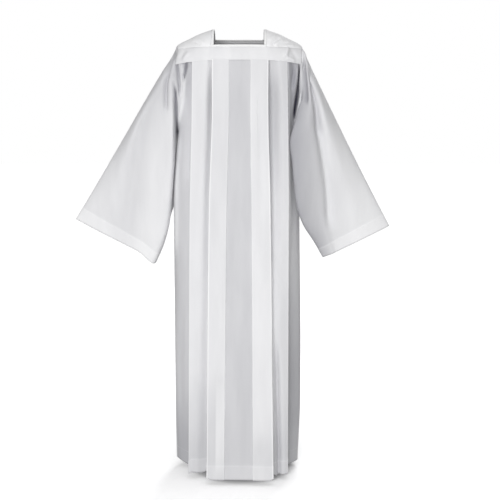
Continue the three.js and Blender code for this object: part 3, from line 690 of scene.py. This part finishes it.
def arch_point(x, turn):
    """A point of the yoke's arch at x: turn 0 is its lower front edge, 1 its lower back edge."""
    angle = turn * math.pi
    low = yoke_low(x)
    y = -yoke_depth(x) * bulge(math.cos(angle), ARCH_POWER)
    return np.array([x, y, low + (shoulder_top(x) - low) * bulge(math.sin(angle), ARCH_POWER)])


def arch_turn(x, z):
    """The turn at which the front half of the arch at x has the height z."""
    low = yoke_low(x)
    share = min(max((z - low) / (shoulder_top(x) - low), 0), 1)
    return math.asin(share ** (ARCH_POWER / 2)) / math.pi


def band_grid(top_of, facing, creases):
    """A yoke band from a little below its sewn edge up to the seam at its top."""
    columns = np.linspace(-YOKE_HALF, YOKE_HALF, 121)
    rows = []
    for share in np.linspace(0, 1, 26) ** 1.25:
        row = []
        for x in columns:
            low = yoke_low(x)
            z = low + (top_of(x) - low) * share
            _, py, pz = arch_point(x, arch_turn(x, z))
            row.append((edge_x(x, pz) if x else 0, facing * py, pz - 1.2 * (1 - share)))
        rows.append(row)
    grid = np.array(rows)
    normals = grid_normals(grid)
    if np.sum(normals[:, :, 1] * -facing) > 0:
        grid, normals = grid[:, ::-1], -normals[:, ::-1]
    height = np.linalg.norm(grid - grid[:1], axis=2)
    ridge = 0.5 + BAND_RIDGE * np.exp(-(height / BAND_TURNING) ** 4)
    grid = grid + normals * ridge[..., None]
    return creased(grid, creases, normals, 0)[0]


def shoulder_grid(side):
    """A shoulder piece, from under the front band to under the back one, and from neck to armhole."""
    rows = []
    for share in np.linspace(0, 1, 64):
        row = []
        for x in np.linspace(NECK_HALF, YOKE_HALF, 34):
            start = arch_turn(x, FRONT_NECK_Z) - 0.006
            end = 1 - arch_turn(x, back_seam(x)) + 0.006
            px, py, pz = arch_point(x, start + (end - start) * share)
            row.append((edge_x(side * px, pz), py, pz))
        rows.append(row)
    grid = np.array(rows)
    normals = grid_normals(grid)
    if np.sum(normals[:, :, 2]) < 0:
        grid, normals = grid[:, ::-1], -normals[:, ::-1]
    away = np.minimum(np.linspace(0, 1, 64), np.linspace(1, 0, 64))[:, None]
    tucked = -1.1 * np.exp(-(away / 0.03) ** 2)
    grid = grid + normals * tucked[..., None]
    front = normals[..., 1] < 0.2
    moved = creased(grid, SHOULDER_CREASES[side_name(side)], normals, 0)[0]
    return np.where(front[..., None], moved, grid)


yoke_pieces = [
    ("yoke_front", band_grid(lambda x: FRONT_NECK_Z, 1, YOKE_CREASES), "front_yoke", (0.40, 0.058), 0.022),
    ("yoke_back", band_grid(back_seam, -1, []), "back_yoke", (0.40, 0.095), 0.034),
    ("shoulder_left", shoulder_grid(-1), "shoulder_yoke_left", (0.13, 0.19), 0.020),
    ("shoulder_right", shoulder_grid(1), "shoulder_yoke_right", (0.13, 0.19), 0.020),
]
for _, grid, *_ in yoke_pieces[:2]:
    rise = np.linalg.norm(grid - grid[:1], axis=2).mean(axis=1)
    row = int(np.argmin(np.abs(rise - BAND_TURNING + 0.8)))
    sewn.append(sewn_line(grid, row, row + 1, 0))
for name, grid, replaced, size, area in yoke_pieces:
    # The bands take a middling tone for their doubled cloth; the shoulder pieces are whiter as painted light
    # where they face up.
    piece = cloth_piece(name, grid, alb_cloth, {"shoulder_left": 0.95, "shoulder_right": 1.0}.get(name, 0.62))
    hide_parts(replaced)
    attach(piece, "root")

# The sleeves
# Two wide bell sleeves of the same cloth, each one width folded along its top edge, seamed underneath and set
# into the armhole. The cuffs are turned up double. One long soft fold runs down each from the armhole.
CUFF_HEM = 40
FORWARD_RISE = 0.1  # the cloth that swells forward hangs this much higher
GUIDE_STEPS = 30  # steps between two guiding points of a ring
SLEEVE_ROUND = 10 * GUIDE_STEPS
SLEEVE_SHIFT = [1.2, 1.2, 1.3, 2.3]  # how far outside the armhole edge the sleeve starts
# The rings of each sleeve, from below the armhole to the cuff, the left one's with x turned over. outer, lip
# and inner are points on the top edge, the front edge and underneath. valley is the long soft fold, as its
# place between them and how far its floor stands forward, crest how far the cloth beside it does, back how far
# the sleeve swells behind, and tuck how far it reaches behind the skirt.
SLEEVES = {
    "left": dict(
        outer=[(223, 0, -86), (252, 0, -131), (292, 0, -196), (345, 0, -283), (403, 0, -378),
               (463, 0, -476), (515, 0, -561), (557, 0, -629)],
        lip=[(213, -56, -318), (216, -63, -372), (218, -63, -430), (224, -60, -495), (233, -54, -566),
             (245, -47, -645), (268, -40, -716), (295, -30, -777)],
        inner=[(209, 3, -347), (213, 6, -388), (218, 8, -440), (225, 10, -505), (230, 10, -575),
               (242, 8, -650), (262, 6, -718), (286, 8, -770)],
        valley=[(0.3, 74), (0.25, 74), (0.2, 66), (0.2, 54), (0.31, 49), (0.45, 42), (0.55, 37),
                (0.63, 33)],
        crest=[75, 75, 70, 64, 58, 52, 47, 40],
        back=[80, 80, 74, 66, 59, 52, 46, 42],
        tuck=[6, 12, 19, 24, 35, 15, 4, 0]),
    "right": dict(
        outer=[(214, 0, -74), (224, 0, -94), (247, 0, -141), (280, -2, -207), (325, -4, -297),
               (374, -6, -395), (426, -6, -495), (472, -6, -582), (509, -4, -652)],
        lip=[(195, -83, -262), (182, -94, -306), (166, -101, -362), (173, -102, -434), (180, -100, -504),
             (190, -94, -572), (215, -77, -640), (254, -54, -700), (284, -33, -755)],
        inner=[(206, 0, -337), (208.5, -9, -347), (206, -34, -388), (208, -36, -442), (210, -30, -506),
               (214, -18, -576), (228, -14, -642), (258, -14, -702), (291, -8, -757)],
        valley=[(0.12, 66), (0.16, 69), (0.24, 74), (0.36, 73), (0.46, 71), (0.54, 65), (0.62, 54),
                (0.74, 44), (0.84, 36)],
        crest=[74, 80, 84, 82, 78, 72, 60, 49, 40],
        back=[76, 80, 82, 80, 76, 70, 62, 54, 46]),
}
# How thick the cloth lies at each of the ten guiding points round a sleeve, at the armhole and at the cuff,
# with painted shade on the parts turned from the light and painted light on those turned to it.
SLEEVE_LAYERS_AND_LIGHT = {
    "left": ([0.0, 0.0, 0.0, 0.4, 0.55, -0.5, 0.4, 0.4, 0.4, 0.2],
             [0.78, 0.5, 0.38, 0.62, 0.7, 0.0, 0.4, 0.4, 0.4, 0.4]),
    "right": ([0.5, 0.3, 0.1, -0.4, -0.85, -0.5, 0.4, 0.4, 0.4, 0.5],
              [1.0, 0.85, 0.55, 0.2, -0.5, -0.3, 0.4, 0.4, 0.4, 0.7]),
}
SLEEVE_CREASES = {
    "left": [
        dict(line=[(-206, -92), (-201, -120), (-198, -140), (-196, -168), (-192, -190), (-193, -225)],
             width=4.5, out=-13, painted_shade=0.7),
        dict(line=[(-208, -70), (-219, -92), (-228, -115), (-234, -145), (-240, -175), (-241, -207),
                   (-240, -280)],
             width=[8, 8, 8, 7, 7, 7, 7], out=-16, painted_shade=0.3),
        dict(line=[(-210, -96), (-214, -130), (-220, -165)], width=6, out=3),
        dict(line=[(-213, -172), (-210, -200), (-208, -226), (-208, -258), (-208, -292), (-209, -325),
                   (-211, -370)],
             width=[2.5, 4, 5.5, 6.5, 5.5, 4, 3], out=-36, power=4, straight=True, painted_shade=1.3),
        dict(line=[(-291, -240), (-325, -340), (-354, -500), (-377, -660)], width=16, out=-4),
    ],
    "right": [
        dict(line=[(210, -98), (212, -128), (214, -160), (216, -195), (219, -250)],
             width=5, out=-14, painted_shade=0.6),
        dict(line=[(218, -110), (224, -146), (229, -192), (234, -240)], width=5, out=2),
        dict(line=[(224, -92), (232, -136), (238, -168), (244, -201), (255, -250), (263, -310), (268, -360)],
             width=[6, 7, 9, 10, 10, 10, 10], out=-18, painted_shade=0.35),
        dict(line=[(256, -270), (266, -335), (275, -395), (284, -444), (291, -494), (297, -560), (305, -670)],
             width=14, out=-13),
    ],
}


def armhole_ring(sign):
    """The sleeve's first ring: the armhole edge, shared out evenly by length from its top."""
    line = []
    for i in range(401):
        z = ARMHOLE_TOP_Z + (UNDERARM_Z - ARMHOLE_TOP_Z) * (0.5 - 0.5 * math.cos(math.pi * i / 400))
        out, half = armhole_at(z, sign)
        line.append((out + through(ARMHOLE_Z, SLEEVE_SHIFT, z), -half, z))
    line = np.array(line)
    run = run_down(line[:, None])
    even = np.linspace(0, run[-1], SLEEVE_ROUND // 2 + 1)
    front = np.stack([np.interp(even, run, line[:, k]) for k in range(3)], 1)
    return np.concatenate([front, front[1:-1][::-1] * (1, -1, 1)])


def smooth_step_curve(a, b, c, d, t):
    """The point at share t between b and c on a smooth curve through four points."""
    ab, bc, cd = (max(np.linalg.norm(q - p), 1e-4) ** 0.5 for p, q in ((a, b), (b, c), (c, d)))
    leave = ((b - a) / ab - (c - a) / (ab + bc) + (c - b) / bc) * bc
    arrive = ((c - b) / bc - (d - b) / (bc + cd) + (d - c) / cd) * bc
    bend = 3 * (c - b) - 2 * leave - arrive
    return b + leave * t + bend * t * t + (2 * (b - c) + leave + arrive) * t ** 3


def sleeve_ring(row):
    """A ring of the sleeve: a smooth closed curve through ten guiding points."""
    outer, inner, lip = (np.array(row[k], float) for k in ("outer", "inner", "lip"))

    def at(share, depth):
        return outer + (inner - outer) * share + np.array([0, -depth, FORWARD_RISE * depth])

    place, depth = row["valley"]
    behind = at(0.86, -0.75 * row["back"]) - (row.get("tuck", 0), 0, 0)
    guides = [
        outer, at(0.45 * place, 0.8 * row["crest"]), at(place, depth),
        at(place + 0.55 * (0.94 - place), row["crest"]), lip, inner,
        behind, at(0.6, -row["back"]),
        at(0.34, -0.95 * row["back"]), at(0.11, -0.62 * row["back"])]
    ring = []
    for i in range(10):
        four = [guides[(i + k) % 10] for k in (-1, 0, 1, 2)]
        ring += [smooth_step_curve(*four, k / GUIDE_STEPS) for k in range(GUIDE_STEPS)]
    return np.array(ring)


def sleeve_grid(sign):
    """The sleeve's rings from just inside the armhole to the cuff, close together near both."""
    table = SLEEVES[side_name(sign)]
    rows = [dict(zip(table, values)) for values in zip(*table.values())]
    rings = np.array([armhole_ring(sign)] + [sleeve_ring(row) for row in rows])
    along = run_down(rings)
    cuff_top = along[-1] - CUFF_HEM
    stops = np.concatenate([
        np.linspace(0, 8, 6), np.linspace(12, cuff_top - 6, 84), [cuff_top - 1.5, cuff_top],
        np.linspace(cuff_top + 1.5, along[-1], 8)])
    slopes = np.gradient(rings, along, axis=0)
    middle = rings[0].mean(axis=0)
    inward = (middle - rings[0]) * (0, 1, 1)
    inward /= np.linalg.norm(inward, axis=1, keepdims=True)
    grid = [rings[0] + inward * 3 - (far, 0, 0) for far in (7, 4)] + [rings[0] + inward * 1.6 - (1.5, 0, 0)]
    stops = np.concatenate([[-7, -4, -1.5], stops])
    for stop in stops[3:]:
        i = min(int(np.searchsorted(along, stop, side="right")) - 1, len(rings) - 2)
        gap = along[i + 1] - along[i]
        grid.append(blend(rings[i], rings[i + 1], slopes[i], slopes[i + 1], gap, (stop - along[i]) / gap))
    grid = np.array(grid) * (sign, 1, 1)
    normals = grid_normals(grid, ring=True)
    centre = grid.mean(axis=1, keepdims=True)
    flipped = np.sum(normals * (grid - centre)) < 0
    if flipped:
        grid, normals = grid[:, ::-1], -normals[:, ::-1]
    shares = np.arange(SLEEVE_ROUND) / GUIDE_STEPS
    high, low = (np.interp(shares, range(11), row + row[:1]) for row in SLEEVE_LAYERS_AND_LIGHT[side_name(sign)])
    down = np.clip(stops / along[-1], 0, 1)[:, None] ** 0.7
    layers_and_painted_light = high * (1 - down) + low * down
    if flipped:
        layers_and_painted_light = layers_and_painted_light[:, ::-1]
    in_cuff = stops >= cuff_top - 0.1
    seam = np.exp(-((stops - 1.5) / 3) ** 4)
    layers_and_painted_light = layers_and_painted_light + 0.22 * in_cuff[:, None] + 0.3 * seam[:, None]
    front = normals[..., 1] < 0
    moved, darker = creased(grid, SLEEVE_CREASES[side_name(sign)], normals, layers_and_painted_light)
    grid = np.where(front[..., None], moved, grid)
    layers_and_painted_light = np.minimum(np.where(front, darker, layers_and_painted_light), 1)
    return grid + normals * (1.1 * seam + 0.5 * in_cuff)[:, None, None], layers_and_painted_light


for sign, replaced in ((-1, "sleeve_left"), (1, "sleeve_right")):
    grid, layers_and_painted_light = sleeve_grid(sign)
    sewn.append(sewn_line(grid, -8, -7, 0.4, ring=True))
    piece = cloth_piece(f"bell_{replaced}", grid, alb_cloth, layers_and_painted_light, ring=True)
    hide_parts(replaced)
    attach(piece, "root")

# The neck tape
# A band of bright white tape folded over the raw edge of the square neck opening, mitred at its four corners
# and sewn down close to its edge.
TAPE_WIDTH, TAPE_THICK = 8.5, 3.0
TAPE_ACROSS, TAPE_OVER = 24, 40  # steps along the front or back edge, and over a shoulder
TAPE_ROUND = 16  # points round its section
neck_tape = white_cloth("neck_tape", (0.93, 0.93, 0.93), (0.95, 0.95, 0.95), 0.85, 0.0001)


def tape_path():
    """The neck opening's edge, from corner to corner all round, with the way in at each point."""
    steps = []
    front = arch_turn(NECK_HALF, FRONT_NECK_Z)
    back = 1 - arch_turn(NECK_HALF, BACK_NECK_Z)
    for side, height in ((1, arch_turn(0, FRONT_NECK_Z)), (-1, 1 - arch_turn(0, BACK_NECK_Z))):
        for k in range(1, TAPE_ACROSS):
            steps.append((side * (-NECK_HALF + 2 * NECK_HALF * k / TAPE_ACROSS), height, 0))
        first, last = (front, back) if side > 0 else (back, front)
        for k in range(TAPE_OVER + 1):
            steps.append((side * NECK_HALF, first + (last - first) * k / TAPE_OVER, -side))
    return steps


def tape_grid():
    """Rings of the tape's section, a flat band with rounded edges, along its path."""
    steps = tape_path()
    places = np.array([arch_point(x, turn) for x, turn, _ in steps])
    section = []
    for k in range(TAPE_ROUND):
        angle = 2 * math.pi * k / TAPE_ROUND
        section.append((0.5 + 0.5 * bulge(math.cos(angle), 3.2), 0.5 * bulge(math.sin(angle), 2.6)))
    rows = []
    count = len(steps)
    for i, (x, turn, sideways) in enumerate(steps):
        along = places[(i + 1) % count] - places[(i - 1) % count]
        along /= np.linalg.norm(along)
        up = arch_point(x, turn + 0.004) - arch_point(x, turn - 0.004)
        up /= np.linalg.norm(up)
        normal = np.cross((1, 0, 0), up)
        normal /= np.linalg.norm(normal)
        rise = up if places[i][1] < 0 else -up
        if sideways and abs(along[0]) > 0.2:
            inward = rise + np.array([-math.copysign(1, x), 0, 0])
        elif sideways:
            inward = np.array([sideways, 0, 0], float)
        else:
            inward = rise
        rows.append([
            places[i] + inward * (0.2 + TAPE_WIDTH * a) + normal * TAPE_THICK * b for a, b in section])
    return np.array(rows)


tape_rings = tape_grid()
tape_mesh = bpy.data.meshes.new("neck_tape")
count, around = tape_rings.shape[:2]
faces = [(i * around + k, i * around + (k + 1) % around, (i + 1) % count * around + (k + 1) % around,
          (i + 1) % count * around + k) for i in range(count) for k in range(around)]
tape_mesh.from_pydata((tape_rings.reshape(-1, 3) * MM).tolist(), [], faces)
tape_mesh.uv_layers.new(name="weave")
tape_mesh.attributes.new("layers_and_painted_light", "FLOAT", "POINT")
tape_mesh.polygons.foreach_set("use_smooth", [True] * len(tape_mesh.polygons))
tape_mesh.materials.append(neck_tape)
tape = placed("neck_tape", tape_mesh)
shape = bmesh.new()
shape.from_mesh(tape_mesh)
bmesh.ops.recalc_face_normals(shape, faces=shape.faces)
shape.to_mesh(tape_mesh)
shape.free()
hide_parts("neck_binding")
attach(tape, "root")
outside, inside = tape_rings[:, 5], tape_rings[:, 13]
sewn.append((outside + 0.1 * (outside - inside) / TAPE_THICK, True))

# The sewing
# White polyester thread, three stitches to the centimetre: along the hem and the cuffs, over the yoke's lower
# edges, and round the neck tape. Each stitch is a short float of thread that lies on the cloth.
STITCH_PITCH, STITCH_LENGTH, STITCH_THICK = 3.4, 2.7, 0.6

thread = bpy.data.materials.new("sewing_thread")
thread.use_nodes = True
tree = thread.node_tree
twist = node(tree, "ShaderNodeTexNoise", Scale=600.0, Detail=1.0)
where = node(tree, "ShaderNodeTexCoord")
tone = node(tree, "ShaderNodeMix", data_type="RGBA")
tone.inputs[6].default_value = (0.8, 0.8, 0.82, 1)
tone.inputs[7].default_value = (0.93, 0.93, 0.94, 1)
spun = tree.nodes["Principled BSDF"]
spun.inputs["Roughness"].default_value = 0.55
join(tree, (where, "Object", twist, "Vector"), (twist, "Fac", tone, 0), (tone, 2, spun, "Base Color"))

stitcher = bpy.data.node_groups.new("stitches", "GeometryNodeTree")
sockets = stitcher.interface
sockets.new_socket(name="Lines", in_out="INPUT", socket_type="NodeSocketGeometry")
stitch_sizes = {}
for label, kind, value in (
        ("Pitch", "NodeSocketFloat", STITCH_PITCH * MM),
        ("Half length", "NodeSocketFloat", STITCH_LENGTH / 2 * MM),
        ("Half thickness", "NodeSocketFloat", STITCH_THICK / 2 * MM), ("Seed", "NodeSocketInt", 7)):
    socket = sockets.new_socket(name=label, in_out="INPUT", socket_type=kind)
    stitch_sizes[socket.identifier] = value
sockets.new_socket(name="Stitches", in_out="OUTPUT", socket_type="NodeSocketGeometry")
given = node(stitcher, "NodeGroupInput")
done = node(stitcher, "NodeGroupOutput")
to_curve = node(stitcher, "GeometryNodeMeshToCurve")
points = node(stitcher, "GeometryNodeCurveToPoints", mode="LENGTH")
float_shape = node(stitcher, "GeometryNodeMeshUVSphere", Segments=6, Rings=4, Radius=1.0)
size = node(stitcher, "ShaderNodeCombineXYZ")
uneven = node(stitcher, "FunctionNodeRandomValue", data_type="FLOAT_VECTOR", Min=(0.9, 0.9, 0.9),
              Max=(1.1, 1.1, 1.06))
scale = node(stitcher, "ShaderNodeVectorMath", operation="MULTIPLY")
place_all = node(stitcher, "GeometryNodeInstanceOnPoints")
real = node(stitcher, "GeometryNodeRealizeInstances")
painted = node(stitcher, "GeometryNodeSetMaterial", Material=thread)
join(stitcher,
     (given, "Lines", to_curve, "Mesh"), (to_curve, "Curve", points, "Curve"),
     (given, "Pitch", points, "Length"), (given, "Half thickness", size, "X"),
     (given, "Half thickness", size, "Y"), (given, "Half length", size, "Z"),
     (given, "Seed", uneven, "Seed"), (size, "Vector", scale, 0), (uneven, "Value", scale, 1),
     (points, "Points", place_all, "Points"), (float_shape, "Mesh", place_all, "Instance"),
     (points, "Rotation", place_all, "Rotation"), (scale, "Vector", place_all, "Scale"),
     (place_all, "Instances", real, "Geometry"), (real, "Geometry", painted, "Geometry"),
     (painted, "Geometry", done, "Stitches"))

places, edges = [], []
for line, closed in sewn:
    first = len(places)
    places += (line * MM).tolist()
    edges += [(k, k + 1) for k in range(first, len(places) - 1)]
    if closed:
        edges.append((len(places) - 1, first))
lines_mesh = bpy.data.meshes.new("topstitching")
lines_mesh.from_pydata(places, edges, [])
stitching = placed("topstitching", lines_mesh)
maker = stitching.modifiers.new("stitches", "NODES")
maker.node_group = stitcher
for identifier, value in stitch_sizes.items():
    maker[identifier] = value
evaluated = stitching.evaluated_get(bpy.context.evaluated_depsgraph_get())
stitches = bpy.data.meshes.new_from_object(evaluated)
stitching.modifiers.clear()
stitching.data = stitches
stitches.polygons.foreach_set("use_smooth", [True] * len(stitches.polygons))
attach(stitching, "root")
